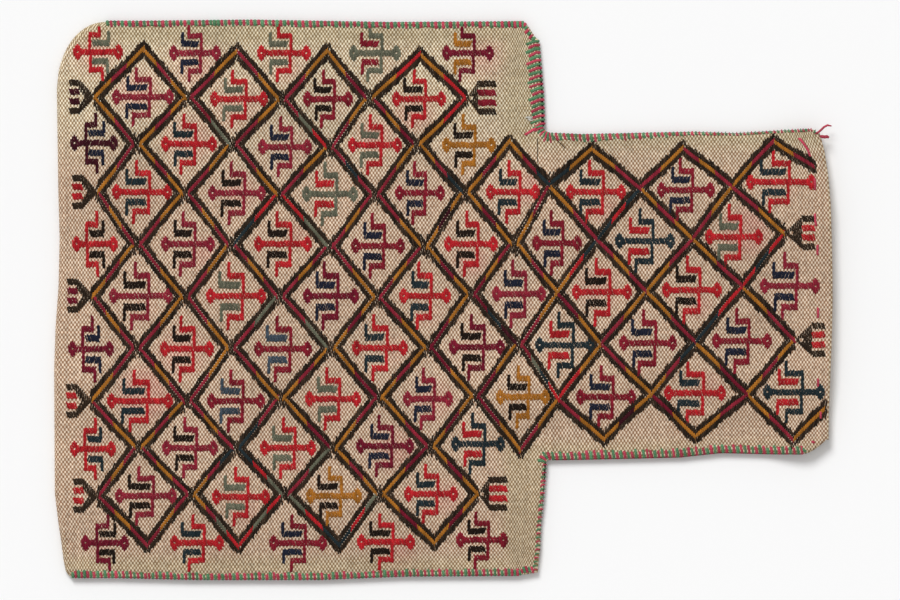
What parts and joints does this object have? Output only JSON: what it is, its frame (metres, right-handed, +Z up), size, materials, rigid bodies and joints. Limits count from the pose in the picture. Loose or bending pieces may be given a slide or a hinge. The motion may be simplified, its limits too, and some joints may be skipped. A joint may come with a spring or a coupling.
{
  "type": "woven salt bag",
  "caption": "Flat-lying handwoven wool bag with a wide square body and a narrower neck open at the end, overcast along both sides, with a raised diamond lattice.",
  "frame": {"origin": "middle of the underside of the bag's box, on the surface it lies on", "axes": "+X from the base fold to the mouth, +Y across the bag towards its more rounded base corner, +Z up through the patterned front"},
  "size_m": [0.5601, 0.406, 0.0148],
  "materials": {
    "undyed_wool": "undyed handspun wool flatweave, matt, with brocaded wool in madder, ochre, teal and dark brown",
    "seam_thread": "plied wool yarn, rose red and green turn by turn, soft sheen",
    "dark_cord": "black wool cord, matt",
    "pink_thread": "pink plied wool yarn, matt"
  },
  "bodies": {
    "root": {"woven_cloth": "undyed_wool", "side_overcast_upper": "seam_thread", "side_overcast_lower": "seam_thread", "shoulder_overcast_upper": "seam_thread", "shoulder_overcast_lower": "seam_thread", "neck_overcast_upper": "seam_thread", "neck_overcast_lower": "seam_thread", "shoulder_cord_upper": "dark_cord", "shoulder_cord_lower": "dark_cord", "thread_tail_long": "pink_thread", "thread_tail_short": "pink_thread"}
  },
  "joints": []
}
